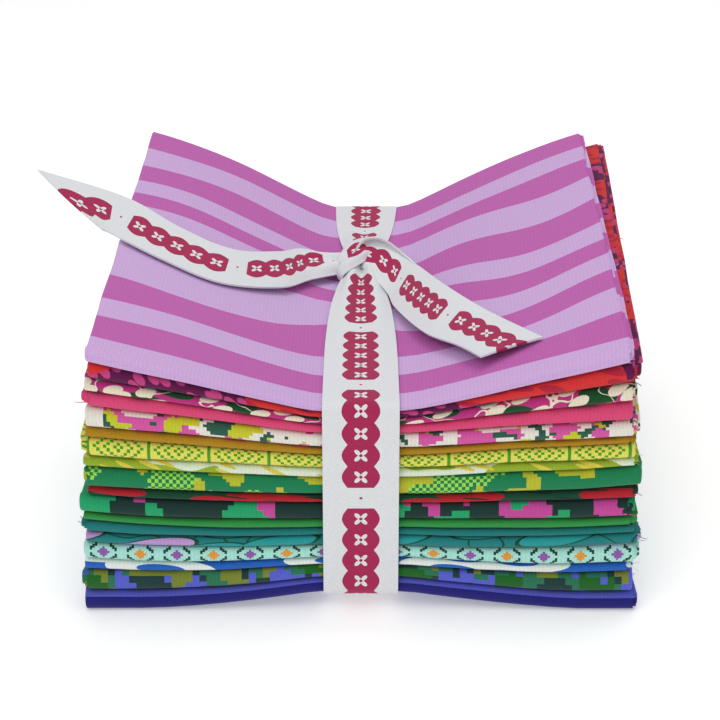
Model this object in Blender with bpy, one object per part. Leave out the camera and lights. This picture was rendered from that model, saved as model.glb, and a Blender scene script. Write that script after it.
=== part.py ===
"""Fat quarter bundle: eighteen folded cotton fat quarters, tied in the middle with a twill ribbon.

Each fat quarter is a cut of quilting cotton of 457 by 559 mm. It is folded in four across the
bundle (X) and in three along it (Y), so it lies as a flat packet with its closed fold in front.
The ribbon pinches the stack in the middle, so the ends of the stack flare up and down.

Metres, +Z up. X runs left to right across the bundle, and the closed folds face -Y.
"""
import math

import bmesh
import bpy
from mathutils import Vector

MM = 0.001
SHARP_FROM = math.radians(50)

# Driving sizes, in millimetres
STACK_DEPTH = 152.0
STACK_REACH = 70.0
GAP = 0.3
TIE_HALF_WIDTH = 10.5
FRONT_TOP_AT_TIE = 60.0
BACK_TOP_AT_TIE = 59.3
FRONT_TOP_AT_END = 76.3
BACK_TOP_AT_END = 85.6
TOP_STRAIGHT_SHARE = 0.6
TIE_LIFT = 7.0
FLAT_BASE_FROM = 50.0
TIE_PINCH = 0.8
TIED_STEP_SHARE = 0.3

# Stations that every fat quarter shares, so that their faces stay parallel
SIDE_STATIONS = (TIE_HALF_WIDTH, 20.0, 34.0, FLAT_BASE_FROM, 64.0)
FOLD_LINE = -72.0
TUCKED_EDGE = -62.0
MIDDLE_LINE = 10.0

# Section of one fat quarter: shares of its own height, then lengths in millimetres
LAYER_SHARE = 0.27
SLIT_SHARE = 0.095
NOSE_WALL_SHARE = 0.4
RAW_EDGE_STEP = 1.6
BACK_FOLD_REACH = 1.4
BACK_FOLD_WALL = 1.1
OUTER_FOLD_STEPS = 5
INNER_FOLD_STEPS = 2
BACK_FOLD_STEPS = 3

# Top to bottom. Heights of the front fold at the left end, the tie and the right end, then the
# places of the left and right ends, then how far the front and back stand in, all in millimetres
FAT_QUARTERS = (
    # name, colour, left, tie, right, left end, right end, front in, back in
    ("orchid_stripe", "C48BC4", 4.0, 1.9, 4.0, -68.7, 67.7, 0.0, 0.0),
    ("plum_petal", "5A0D45", 4.5, 1.7, 5.7, -68.3, 69.5, 0.8, 0.5),
    ("magenta_bloom", "B32D78", 3.7, 1.8, 5.4, -69.5, 69.0, 0.1, 0.9),
    ("hot_pink_solid", "DA4C82", 4.0, 2.5, 5.2, -70.7, 67.7, 0.4, 0.2),
    ("cream_chart", "E2DDD2", 6.0, 4.0, 4.3, -69.6, 70.4, 0.0, 0.6),
    ("mustard_solid", "B5861A", 3.0, 2.0, 1.9, -70.0, 69.5, 0.7, 0.1),
    ("yellow_chart", "DFDB5A", 5.1, 3.7, 4.0, -71.6, 69.1, 0.2, 0.8),
    ("olive_brush", "8FA828", 3.2, 2.5, 2.5, -70.8, 70.5, 0.6, 0.3),
    ("green_check", "157A4E", 5.8, 5.0, 5.7, -71.6, 71.1, 0.0, 0.7),
    ("forest_petal", "0B3A28", 2.2, 2.1, 3.8, -70.2, 71.0, 0.8, 0.0),
    ("teal_block", "12332E", 5.4, 4.8, 5.1, -72.6, 70.3, 0.1, 0.5),
    ("green_solid", "2F9A3F", 2.3, 2.2, 2.6, -71.7, 71.2, 0.6, 0.9),
    ("teal_solid", "1C7A78", 3.0, 2.2, 1.9, -73.0, 70.1, 0.3, 0.2),
    ("teal_leaf", "1E8C8E", 3.2, 2.9, 3.6, -71.6, 72.4, 0.2, 0.6),
    ("aqua_chart", "A6E0D4", 5.1, 3.6, 5.7, -72.2, 72.2, 0.0, 0.1),
    ("blue_shape", "1F5CB8", 3.1, 2.2, 2.4, -72.1, 71.0, 0.7, 0.8),
    ("night_block", "256B4F", 6.1, 3.6, 6.4, -73.8, 70.6, 0.1, 0.3),
    ("navy_stripe", "3A3C9A", 6.1, 4.5, 5.4, -72.8, 72.8, 0.0, 0.5),
)
COUNT = len(FAT_QUARTERS)

# Ribbon, in millimetres
RIBBON_WIDTH = 19.6
RIBBON_THICKNESS = 1.0
RIBBON_COLOUR = "E4E6EA"
RIBBON_CENTRE_X = -0.4
RIBBON_FRONT = -76.1
RIBBON_BACK = 76.0
RIBBON_TOP = 61.0
RIBBON_BASE = TIE_LIFT - GAP - RIBBON_THICKNESS / 2
CORNER_RADIUS = 2.4
CORNER_STEPS = 4
KNOT_CENTRE = (-1.0, 19.0, 65.2)
KNOT_RADII = (5.2, 7.2, 4.3)
SPLINE_STEPS = 3

# The ribbon's way round the stack, from the knot to the front, under it and back to the knot
LOOP_ROUTE = (
    # y, z, bend radius, width, thickness
    (17.0, 64.4, 0.0, 6.0, 2.4),
    (12.0, 63.7, 0.0, 7.0, 2.4),
    (0.0, 62.5, 0.0, 11.5, 1.8),
    (-17.0, 61.7, 0.0, 16.0, 1.3),
    (-38.0, 61.1, 0.0, 19.0, RIBBON_THICKNESS),
    (RIBBON_FRONT, RIBBON_TOP, CORNER_RADIUS, RIBBON_WIDTH, RIBBON_THICKNESS),
    (RIBBON_FRONT, RIBBON_BASE, CORNER_RADIUS, RIBBON_WIDTH, RIBBON_THICKNESS),
    (RIBBON_BACK, RIBBON_BASE, CORNER_RADIUS, RIBBON_WIDTH, RIBBON_THICKNESS),
    (RIBBON_BACK, RIBBON_TOP, CORNER_RADIUS, RIBBON_WIDTH, RIBBON_THICKNESS),
    (60.0, RIBBON_TOP, 0.0, 18.0, 1.1),
    (48.0, 61.3, 0.0, 15.5, 1.4),
    (35.0, 62.2, 0.0, 11.0, 1.9),
    (26.0, 63.5, 0.0, 7.5, 2.4),
    (21.0, 64.4, 0.0, 6.0, 2.4),
)

# The free ends lie open on the top. Each row gives the near and the far edge of the ribbon
LEFT_TAIL = (
    # near x, y, z, far x, y, z, thickness
    (-2.5, 15.0, 63.9, -2.5, 21.0, 65.6, 2.4),
    (-8.5, 11.0, 63.7, -9.5, 21.5, 66.0, 1.8),
    (-14.6, 1.5, 64.2, -17.7, 20.7, 66.8, 1.1),
    (-22.5, -10.8, 66.6, -24.8, 8.3, 69.9, 1.0),
    (-39.2, -19.2, 71.4, -37.3, 0.0, 73.9, 1.0),
    (-56.2, -15.1, 77.2, -52.3, 4.1, 79.0, 1.0),
    (-70.1, -9.2, 82.0, -68.3, 9.8, 86.0, 1.0),
    (-72.6, -8.6, 82.9, -92.2, 6.9, 95.2, 1.0),
)
RIGHT_TAIL = (
    # near x, y, z, far x, y, z, thickness
    (-1.0, 17.0, 65.0, -1.0, 23.0, 65.4, 2.4),
    (2.5, 11.5, 65.6, 5.5, 25.5, 67.6, 1.8),
    (5.9, -2.2, 64.8, 12.6, 16.0, 66.6, 1.2),
    (9.4, -15.5, 64.4, 17.0, 1.8, 67.8, 1.0),
    (17.5, -41.0, 66.0, 26.4, -23.5, 69.9, 1.0),
    (24.8, -54.2, 67.9, 34.4, -37.2, 69.9, 1.0),
    (30.2, -64.6, 69.4, 46.6, -58.0, 71.9, 1.0),
)

# The turn of the knot that lies over the neck of the ribbon
WRAP = (
    # near x, y, z, far x, y, z, thickness
    (-7.6, 9.6, 62.6, -8.4, 16.4, 62.8, 1.4),
    (-6.6, 10.6, 66.6, -7.6, 17.6, 67.0, 1.6),
    (-2.6, 13.2, 69.4, -4.2, 20.8, 69.9, 1.7),
    (1.6, 17.0, 69.4, -0.4, 24.4, 69.8, 1.7),
    (4.4, 20.4, 66.6, 2.4, 27.6, 66.8, 1.6),
    (4.6, 21.6, 62.8, 2.8, 28.2, 62.9, 1.4),
)


def linear_colour(hex_colour):
    """sRGB hex to a linear RGBA value."""
    values = [int(hex_colour[i:i + 2], 16) / 255 for i in (0, 2, 4)]
    linear = [v / 12.92 if v <= 0.04045 else ((v + 0.055) / 1.055) ** 2.4 for v in values]
    return (*linear, 1.0)


def cotton(name, hex_colour, roughness):
    """Plain cotton in one colour."""
    material = bpy.data.materials.new(name)
    material.use_nodes = True
    shader = material.node_tree.nodes["Principled BSDF"]
    shader.inputs["Base Color"].default_value = linear_colour(hex_colour)
    shader.inputs["Roughness"].default_value = roughness
    shader.inputs["Metallic"].default_value = 0.0
    return material


def clamp(value):
    return max(0.0, min(1.0, value))


def mix(a, b, share):
    return a + (b - a) * share


def away_from_tie(x):
    """0 under the ribbon, 1 at the nominal end of the stack and more past it."""
    return max(0.0, (abs(x) - TIE_HALF_WIDTH) / (STACK_REACH - TIE_HALF_WIDTH))


def stack_top(x, y):
    """Height of the pinched stack: nearly straight in front, and steeper by the tie at the back."""
    t = away_from_tie(x)
    bowed = mix(math.sin(math.pi / 2 * t), t, TOP_STRAIGHT_SHARE)
    front = mix(FRONT_TOP_AT_TIE, FRONT_TOP_AT_END, t)
    back = mix(BACK_TOP_AT_TIE, BACK_TOP_AT_END, bowed)
    return mix(front, back, y / STACK_DEPTH + 0.5)


def stack_base(x):
    """Height of the underside, which the ribbon lifts in the middle."""
    t = clamp((abs(x) - TIE_HALF_WIDTH) / (FLAT_BASE_FROM - TIE_HALF_WIDTH))
    return TIE_LIFT * (1 - t * t * (3 - 2 * t))


def share_below(first, column):
    """Share of the front height that lies below the top of fat quarter number first."""
    heights = [row[column] for row in FAT_QUARTERS]
    return sum(heights[first:]) / sum(heights)


def boundary(first, x, y):
    """Height of the boundary above fat quarter number first, even inside and as folded in front."""
    end_column = 2 if x < 0 else 4
    front = mix(share_below(first, 3), share_below(first, end_column), away_from_tie(x))
    even = 1 - first / COUNT
    share = mix(front, even, clamp((y - FOLD_LINE) / (TUCKED_EDGE - FOLD_LINE)))
    return mix(stack_base(x), stack_top(x, y), share)


def arc(centre_y, centre_share, reach, half_share, start, stop, steps):
    """Points of a fold, as pairs of y and share of the height."""
    points = []
    for i in range(steps + 1):
        angle = math.radians(mix(start, stop, i / steps))
        points.append((centre_y + reach * math.cos(angle), centre_share + half_share * math.sin(angle)))
    return points


def folded_section(front, back):
    """Outline of the three folded layers: top and bottom meet in front, bottom and middle at the back."""
    low_slit = LAYER_SHARE
    middle_low = LAYER_SHARE + SLIT_SHARE
    middle_high = 1 - middle_low
    high_slit = 1 - LAYER_SHARE
    nose = FOLD_LINE - front
    hollow = nose * (1 - NOSE_WALL_SHARE)
    fold_back = back - BACK_FOLD_REACH
    fold_inside = back - BACK_FOLD_WALL
    return (
        [(back - RAW_EDGE_STEP, 1.0), (MIDDLE_LINE, 1.0), (TUCKED_EDGE, 1.0)]
        + arc(FOLD_LINE, 0.5, nose, 0.5, 90, 270, OUTER_FOLD_STEPS)
        + [(TUCKED_EDGE, 0.0), (MIDDLE_LINE, 0.0)]
        + arc(fold_back, middle_high / 2, BACK_FOLD_REACH, middle_high / 2, -90, 90, BACK_FOLD_STEPS)
        + [(MIDDLE_LINE, middle_high), (TUCKED_EDGE, middle_high)]
        + [(TUCKED_EDGE, middle_low), (MIDDLE_LINE, middle_low)]
        + [(fold_inside, middle_low), (fold_inside, low_slit)]
        + [(MIDDLE_LINE, low_slit), (TUCKED_EDGE, low_slit)]
        + arc(FOLD_LINE, 0.5, hollow, 0.5 - LAYER_SHARE, 270, 90, INNER_FOLD_STEPS)
        + [(TUCKED_EDGE, high_slit), (MIDDLE_LINE, high_slit), (back - RAW_EDGE_STEP, high_slit)]
    )


def add_object(name, bm, material, collection):
    """Turn a bmesh in millimetres into an object with its faces out."""
    bmesh.ops.scale(bm, vec=(MM, MM, MM), verts=bm.verts)
    bmesh.ops.recalc_face_normals(bm, faces=bm.faces)
    mesh = bpy.data.meshes.new(name)
    bm.to_mesh(mesh)
    bm.free()
    mesh.materials.append(material)
    mesh.shade_smooth()
    mesh.set_sharp_from_angle(angle=SHARP_FROM)
    obj = bpy.data.objects.new(name, mesh)
    collection.objects.link(obj)
    return obj


def fat_quarter(index, collection):
    """One folded fat quarter, lofted across the bundle between its two ends."""
    name, colour, _, _, _, left_end, right_end, front_in, back_in = FAT_QUARTERS[index]
    stations = [left_end, *(-x for x in reversed(SIDE_STATIONS)), *SIDE_STATIONS, right_end]
    bm = bmesh.new()
    sections = []
    for x in stations:
        pinch = TIE_PINCH * (1 - clamp(away_from_tie(x)))
        loose = mix(TIED_STEP_SHARE, 1.0, clamp(away_from_tie(x)))
        front = -STACK_DEPTH / 2 + pinch + front_in * loose
        back = STACK_DEPTH / 2 - pinch - back_in * loose
        ring = []
        for y, share in folded_section(front, back):
            low = boundary(index + 1, x, y) + (GAP / 2 if index + 1 < COUNT else 0.0)
            high = boundary(index, x, y) - (GAP / 2 if index else 0.0)
            ring.append(bm.verts.new((x, y, mix(low, high, share))))
        sections.append(ring)
    for here, beyond in zip(sections, sections[1:]):
        loft(bm, here, beyond)
    for ring in (sections[0], sections[-1]):
        cap = bm.faces.new(ring)
        cap.normal_update()
        bmesh.ops.triangulate(bm, faces=[cap], ngon_method="BEAUTY")
    return add_object(f"fat_quarter_{index + 1:02d}", bm, cotton(name, colour, 0.85), collection)


def loft(bm, here, beyond):
    """Faces between two rings, all split the same way in plan, so that neighbours stay parallel."""
    for i in range(len(here)):
        a, b = here[i - 1], here[i]
        c, d = beyond[i], beyond[i - 1]
        if b.co.y > a.co.y:
            bm.faces.new((a, b, c))
            bm.faces.new((a, c, d))
        else:
            bm.faces.new((a, b, d))
            bm.faces.new((b, c, d))


def strip(bm, near, far, thicknesses):
    """A closed strip between two edges, as thick as given square to its own face."""
    rings = []
    last = len(near) - 1
    for i, thickness in enumerate(thicknesses):
        before, after = max(i - 1, 0), min(i + 1, last)
        along = (near[after] + far[after]) - (near[before] + far[before])
        offset = along.cross(far[i] - near[i]).normalized() * thickness / 2
        corners = (near[i] + offset, far[i] + offset, far[i] - offset, near[i] - offset)
        rings.append([bm.verts.new(corner) for corner in corners])
    for here, beyond in zip(rings, rings[1:]):
        for i in range(4):
            bm.faces.new((here[i - 1], here[i], beyond[i], beyond[i - 1]))
    bm.faces.new(rings[0])
    bm.faces.new(rings[-1])


def smooth_rows(rows, steps):
    """More rows on a smooth curve through the given ones."""
    dense = []
    for i in range(len(rows) - 1):
        p0, p1, p2, p3 = (rows[max(0, min(len(rows) - 1, i + k))] for k in (-1, 0, 1, 2))
        for step in range(steps):
            t = step / steps
            dense.append([
                0.5 * (2 * b + (c - a) * t + (2 * a - 5 * b + 4 * c - d) * t * t
                       + (3 * b - a - 3 * c + d) * t ** 3)
                for a, b, c, d in zip(p0, p1, p2, p3)
            ])
    dense.append(list(rows[-1]))
    return dense


def edge_strip(name, rows, collection):
    """A free end or a turn of the knot, from the rows that give its two edges."""
    dense = smooth_rows(rows, SPLINE_STEPS)
    bm = bmesh.new()
    near = [Vector(row[0:3]) for row in dense]
    far = [Vector(row[3:6]) for row in dense]
    strip(bm, near, far, [row[6] for row in dense])
    return add_object(name, bm, None, collection)


def rounded_route(rows):
    """The route with its bends as arcs."""
    points = []
    for i, (y, z, radius, width, thickness) in enumerate(rows):
        corner = Vector((y, z))
        if radius == 0:
            points.append((corner, width, thickness))
            continue
        back = (Vector(rows[i - 1][0:2]) - corner).normalized()
        ahead = (Vector(rows[i + 1][0:2]) - corner).normalized()
        half_turn = back.angle(ahead) / 2
        centre = corner + (back + ahead).normalized() * radius / math.sin(half_turn)
        start = corner + back * radius / math.tan(half_turn) - centre
        stop = corner + ahead * radius / math.tan(half_turn) - centre
        for step in range(CORNER_STEPS + 1):
            direction = start.slerp(stop, step / CORNER_STEPS)
            points.append((centre + direction.normalized() * radius, width, thickness))
    return points


def ribbon_loop(collection):
    """The ribbon round the stack, with both ends in the knot."""
    route = rounded_route(LOOP_ROUTE)
    bm = bmesh.new()
    near = [Vector((RIBBON_CENTRE_X - width / 2, *point)) for point, width, _ in route]
    far = [Vector((RIBBON_CENTRE_X + width / 2, *point)) for point, width, _ in route]
    strip(bm, near, far, [thickness for _, _, thickness in route])
    return add_object("ribbon", bm, cotton("white_twill", RIBBON_COLOUR, 0.8), collection)


def knot_body(collection):
    """The pulled-tight core of the knot."""
    bpy.ops.mesh.primitive_uv_sphere_add(segments=16, ring_count=8, radius=1.0)
    core = bpy.context.object
    core.name = "knot_core"
    for vertex in core.data.vertices:
        scaled = [c + r * v for c, r, v in zip(KNOT_CENTRE, KNOT_RADII, vertex.co)]
        vertex.co = Vector(scaled) * MM
    for owner in core.users_collection:
        owner.objects.unlink(core)
    collection.objects.link(core)
    return core


def join_pieces(target, pieces):
    """Fuse the pieces of one ribbon into the target."""
    for piece in pieces:
        union = target.modifiers.new(piece.name, "BOOLEAN")
        union.operation = "UNION"
        union.solver = "EXACT"
        union.object = piece
        piece.hide_render = True
        piece.display_type = "WIRE"


def centre_on_footprint(objects):
    """Move the bundle so that the origin is under the middle of its box."""
    bpy.context.view_layer.update()
    corners = [obj.matrix_world @ Vector(corner) for obj in objects for corner in obj.bound_box]
    middle_x = (min(c.x for c in corners) + max(c.x for c in corners)) / 2
    middle_y = (min(c.y for c in corners) + max(c.y for c in corners)) / 2
    for obj in objects:
        obj.location = (obj.location.x - middle_x, obj.location.y - middle_y, 0.0)


def new_collection(name):
    collection = bpy.data.collections.new(name)
    bpy.context.scene.collection.children.link(collection)
    return collection


def main():
    for obj in list(bpy.data.objects):
        bpy.data.objects.remove(obj, do_unlink=True)
    bundle = new_collection("fat_quarter_bundle")
    shaping = new_collection("ribbon_pieces")
    stack = [fat_quarter(index, bundle) for index in range(COUNT)]
    ribbon = ribbon_loop(bundle)
    pieces = [
        knot_body(shaping),
        edge_strip("left_tail", LEFT_TAIL, shaping),
        edge_strip("right_tail", RIGHT_TAIL, shaping),
        edge_strip("knot_wrap", WRAP, shaping),
    ]
    join_pieces(ribbon, pieces)
    centre_on_footprint(stack + [ribbon] + pieces)


main()
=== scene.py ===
# %% [markdown]
# # A tied bundle of fat quarters
# A fat quarter is a cut of quilting cotton, 457 by 559 mm. Eighteen of them are folded into flat
# packets, stacked, and tied round the middle with one length of twill ribbon.
# The solid model of the bundle is loaded first. It fixes every place and size, and this lesson
# dresses it: each solid is replaced by a thin sheet that is folded the way the real cloth is.

# %% Load the solid model
import math
import random

import bpy
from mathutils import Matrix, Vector, noise


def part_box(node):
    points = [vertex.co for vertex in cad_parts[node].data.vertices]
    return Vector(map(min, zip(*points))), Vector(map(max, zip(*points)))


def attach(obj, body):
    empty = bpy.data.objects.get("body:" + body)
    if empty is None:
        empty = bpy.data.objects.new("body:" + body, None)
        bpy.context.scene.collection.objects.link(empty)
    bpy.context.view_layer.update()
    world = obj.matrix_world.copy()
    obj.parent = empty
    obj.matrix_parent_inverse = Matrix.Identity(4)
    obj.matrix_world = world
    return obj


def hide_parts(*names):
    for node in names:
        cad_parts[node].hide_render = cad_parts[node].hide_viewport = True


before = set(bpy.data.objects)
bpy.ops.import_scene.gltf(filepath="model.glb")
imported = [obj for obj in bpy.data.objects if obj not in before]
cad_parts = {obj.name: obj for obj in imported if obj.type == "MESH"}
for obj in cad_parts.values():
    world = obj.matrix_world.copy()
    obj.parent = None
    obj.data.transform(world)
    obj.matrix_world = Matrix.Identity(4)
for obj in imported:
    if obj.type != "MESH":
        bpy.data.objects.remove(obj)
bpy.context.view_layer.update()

MM = 0.001

# %% [markdown]
# ## The camera and the room
# The bundle is seen from the front and a little above. A long lens keeps its edges nearly parallel.
# A pale floor and three large soft lights give the even light of a product table, where shadows
# stay in the folds. The colours are shown as they are, with no film curve on top.

# %% Camera, floor and lights
# All places in mm count from the middle of the stack, and SHIFT takes them to the frame's origin
STACK_HALF_DEPTH = 76.0
stack_low, stack_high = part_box("fat_quarter_18")
SHIFT = Vector(((stack_low.x + stack_high.x) / 2, stack_low.y + STACK_HALF_DEPTH * MM, 0.0))
CAMERA_PLACE = Vector((-0.62, -505.84, 268.91)) * MM + SHIFT
CAMERA_PITCH = 65.56
CAMERA_LENS = 94.75
FLOOR_SIDE = 6.0
FLOOR_GLOW = 0.3
ROOM_GLOW = 0.44


def linear(hex_colour):
    """sRGB hex to the linear colour that a shader takes."""
    values = [int(hex_colour[i:i + 2], 16) / 255 for i in (0, 2, 4)]
    return (*[v / 12.92 if v <= 0.04045 else ((v + 0.055) / 1.055) ** 2.4 for v in values], 1.0)


def add(tree, kind, inputs=(), out=0, **settings):
    """Add a node, set it, link or fill its inputs, and give back one of its outputs."""
    node = tree.nodes.new("ShaderNode" + kind)
    for name, value in settings.items():
        setattr(node, name, value)
    for key, value in dict(inputs).items():
        if isinstance(value, bpy.types.NodeSocket):
            tree.links.new(value, node.inputs[key])
        else:
            node.inputs[key].default_value = value
    return node.outputs[out]


def new_material(name, roughness):
    """A material with its own node tree, and that tree's shader."""
    material = bpy.data.materials.new(name)
    material.use_nodes = True
    shader = material.node_tree.nodes["Principled BSDF"]
    shader.inputs["Roughness"].default_value = roughness
    return material, material.node_tree, shader


scene = bpy.context.scene
scene.view_settings.view_transform = "Standard"
camera_data = bpy.data.cameras.new("camera")
camera_data.lens = CAMERA_LENS
camera = bpy.data.objects.new("camera", camera_data)
camera.location = CAMERA_PLACE
camera.rotation_euler = (math.radians(CAMERA_PITCH), 0.0, 0.0)
scene.collection.objects.link(camera)
scene.camera = camera

bpy.ops.object.select_all(action="DESELECT")
bpy.ops.mesh.primitive_plane_add(size=FLOOR_SIDE, location=(0, 0, 0))
floor = bpy.context.object
floor.name = "floor"
floor_material, _, floor_shader = new_material("matt_white_board", 0.9)
floor_shader.inputs["Base Color"].default_value = linear("F7F7F7")
floor_shader.inputs["Emission Color"].default_value = (1.0, 1.0, 1.0, 1.0)
floor_shader.inputs["Emission Strength"].default_value = FLOOR_GLOW
floor.data.materials.append(floor_material)

world = bpy.data.worlds.new("soft_room")
world.use_nodes = True
world.node_tree.nodes["Background"].inputs["Color"].default_value = (1.0, 1.0, 1.0, 1.0)
world.node_tree.nodes["Background"].inputs["Strength"].default_value = ROOM_GLOW
scene.world = world

LIGHTS = {
    # place in m, size in m, watts
    "key": ((-0.45, -0.7, 1.0), 0.8, 4.2),
    "fill": ((0.7, -0.8, 0.7), 0.9, 1.3),
    "top": ((0.1, 0.2, 1.15), 0.7, 4.2),
}
for name, (place, size, watts) in LIGHTS.items():
    lamp = bpy.data.lights.new(name, "AREA")
    lamp.size = size
    lamp.energy = watts
    lamp_object = bpy.data.objects.new(name, lamp)
    lamp_object.location = place
    lamp_object.rotation_euler = (-Vector(place)).to_track_quat("-Z", "Y").to_euler()
    scene.collection.objects.link(lamp_object)
print("camera at", tuple(round(c, 3) for c in CAMERA_PLACE), "lights:", len(LIGHTS))

# %% [markdown]
# ## The shape of the stack
# The ribbon pinches the stack to 60 mm, and its free ends flare. So every boundary between two
# fat quarters is a share of the stack's own height at that place. Neighbours read the same
# boundary, and can bend and ripple together without ever cutting through each other.

# %% Sizes of the stack, in mm
STACK_DEPTH = 2 * STACK_HALF_DEPTH
STACK_REACH = 70.0
TIE_HALF_WIDTH = 10.5
TIE_SOFTNESS = 4.0
TIE_BEND_START = 1.5
FRONT_TOP_AT_TIE = 60.0
BACK_TOP_AT_TIE = 59.3
FRONT_TOP_AT_END = 76.3
BACK_TOP_AT_END = 85.6
TOP_STRAIGHT_SHARE = 0.6
TIE_LIFT = 5.3
TIE_LIFT_FADE = 1.5
TIE_SKEW = 1.9
FLAT_BASE_FROM = 58.0
TIE_PINCH = 0.8
TIED_STEP_SHARE = 0.3
FOLD_LINE = -72.0
TUCKED_EDGE = -62.0
AIR = 0.09
BOUNDARY_WANDER = 0.006
BOUNDARY_WAVES = (31.0, 47.0)
RIPPLE_HEIGHT = 0.45
RIPPLE_WAVES = (26.0, 33.0, 60.0)
RIPPLE_FREE_ABOVE = 25.0
print("stack:", 2 * STACK_REACH, "by", STACK_DEPTH, "mm, tied down to", FRONT_TOP_AT_TIE, "mm high")

# %% The eighteen fat quarters, top to bottom
# Front height at the left end, the tie and the right end, the ends in x, then how far the front
# and the back stand in, all in mm, and the side of the raw edges: 1 is right, -1 is left
FAT_QUARTERS = (
    # name, left, tie, right, left end, right end, front in, back in, raw side
    ("orchid_stripe", 4.0, 1.9, 4.0, -68.7, 67.7, 0.0, 0.0, 1),
    ("plum_petal", 4.5, 1.7, 5.7, -68.3, 69.5, 0.8, 0.5, 1),
    ("magenta_bloom", 3.7, 1.8, 5.4, -69.5, 69.0, 0.1, 0.9, 1),
    ("hot_pink_solid", 4.0, 2.5, 5.2, -70.7, 67.7, 0.4, 0.2, -1),
    ("cream_chart", 6.0, 4.0, 4.3, -69.6, 70.4, 0.0, 0.6, 1),
    ("mustard_solid", 3.0, 2.0, 1.9, -70.0, 69.5, 0.7, 0.1, 1),
    ("yellow_chart", 5.1, 3.7, 4.0, -71.6, 69.1, 0.2, 0.8, -1),
    ("olive_brush", 3.2, 2.5, 2.5, -70.8, 70.5, 0.6, 0.3, 1),
    ("green_check", 5.8, 5.0, 5.7, -71.6, 71.1, 0.0, 0.7, -1),
    ("forest_petal", 2.2, 2.1, 3.8, -70.2, 71.0, 0.8, 0.0, 1),
    ("teal_block", 5.4, 4.8, 5.1, -72.6, 70.3, 0.1, 0.5, 1),
    ("green_solid", 2.3, 2.2, 2.6, -71.7, 71.2, 0.6, 0.9, 1),
    ("teal_solid", 3.0, 2.2, 1.9, -73.0, 70.1, 0.3, 0.2, -1),
    ("teal_leaf", 3.2, 2.9, 3.6, -71.6, 72.4, 0.2, 0.6, 1),
    ("aqua_chart", 5.1, 3.6, 5.7, -72.2, 72.2, 0.0, 0.1, 1),
    ("blue_shape", 3.1, 2.2, 2.4, -72.1, 71.0, 0.7, 0.8, 1),
    ("night_block", 6.1, 3.6, 6.4, -73.8, 70.6, 0.1, 0.3, -1),
    ("navy_stripe", 6.1, 4.5, 5.4, -72.8, 72.8, 0.0, 0.5, 1),
)
COUNT = len(FAT_QUARTERS)
LEFT, TIED, RIGHT = 1, 2, 3
# Share of the front's height that number first and all below it take, at three columns
BELOW = {
    column: [sum(row[column] for row in FAT_QUARTERS[first:]) / sum(row[column] for row in FAT_QUARTERS)
             for first in range(COUNT + 1)]
    for column in (LEFT, TIED, RIGHT)
}
print("fat quarters:", COUNT, "added up at the tie:", round(sum(row[TIED] for row in FAT_QUARTERS), 1), "mm")

# %% Heights in the stack
def clamp(value):
    return max(0.0, min(1.0, value))


def mix(a, b, share):
    return a + (b - a) * share


def tie_centre(y):
    """The ribbon runs straight from the front to the knot, then a little to the right."""
    return TIE_SKEW * clamp(2 * y / STACK_DEPTH)


def away_from_tie(x, y=0.0):
    """0 under the ribbon, 1 at the nominal end of the stack, with a soft bend between."""
    past = abs(x - tie_centre(y)) - TIE_HALF_WIDTH - TIE_BEND_START
    return (math.hypot(past, TIE_SOFTNESS) + past) / 2 / (STACK_REACH - TIE_HALF_WIDTH - TIE_BEND_START)


def stack_top(x, y):
    """Height of the pinched top: nearly straight in front, and steeper by the tie at the back."""
    t = away_from_tie(x, y)
    bowed = mix(math.sin(math.pi / 2 * t), t, TOP_STRAIGHT_SHARE)
    front = mix(FRONT_TOP_AT_TIE, FRONT_TOP_AT_END, t)
    back = mix(BACK_TOP_AT_TIE, BACK_TOP_AT_END, bowed)
    return mix(front, back, y / STACK_DEPTH + 0.5)


def stack_base(x, y):
    """Height of the underside, which the ribbon lifts in the middle."""
    t = clamp((abs(x - tie_centre(y)) - TIE_HALF_WIDTH) / (FLAT_BASE_FROM - TIE_HALF_WIDTH))
    return TIE_LIFT * (1 - t) ** TIE_LIFT_FADE


def boundary(first, x, y):
    """Height of the boundary above fat quarter number first."""
    front = mix(BELOW[TIED][first], BELOW[LEFT if x < 0 else RIGHT][first], away_from_tie(x, y))
    even = 1 - first / COUNT
    share = mix(front, even, clamp((y - FOLD_LINE) / (TUCKED_EDGE - FOLD_LINE)))
    if 0 < first < COUNT:
        across, along = BOUNDARY_WAVES
        share += BOUNDARY_WANDER * noise.noise((x / across, y / along, first * 1.7))
    return mix(stack_base(x, y), stack_top(x, y), share)


def ripple(x, y, z):
    """Soft unevenness of the whole stack, still under the ribbon and on the table."""
    freedom = clamp(3 * away_from_tie(x, y) - 0.2) * clamp(z / RIPPLE_FREE_ABOVE)
    across, along, up = RIPPLE_WAVES
    return RIPPLE_HEIGHT * freedom * noise.noise((x / across, y / along, z / up))


tied = stack_top(0, -STACK_HALF_DEPTH)
flared = stack_top(STACK_REACH, STACK_HALF_DEPTH)
print("stack height at the tie:", round(tied, 1), "at an end:", round(flared, 1), "mm")

# %% [markdown]
# ## One folded fat quarter
# The real cut is folded in half twice across the bundle, which makes four plies, and then in three
# along it. A cloth simulation could fold it, but twelve layers in 4 mm would take very long to
# settle. Here the fold is worked out instead. A grid stands for the flat cut. Its columns walk
# from ply to ply, its rows walk from layer to layer, and each point lands where the fold puts it.
# Its UV map "cut" keeps the place on the flat cut in metres, so a print follows the cloth round a
# fold. A second map, "OFBake", is the one that the colours can be baked through to one square
# picture. It gives most of the picture to what shows: the outer ply and the front fold.

# %% Columns and rows of the flat cut
CUT_LENGTH = 559.0
CUT_WIDTH = 457.0
OUTER_TURN_REACH = 0.55
INNER_TURN_REACH = 0.2
TURN_STEP_LENGTH = 0.3
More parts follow.
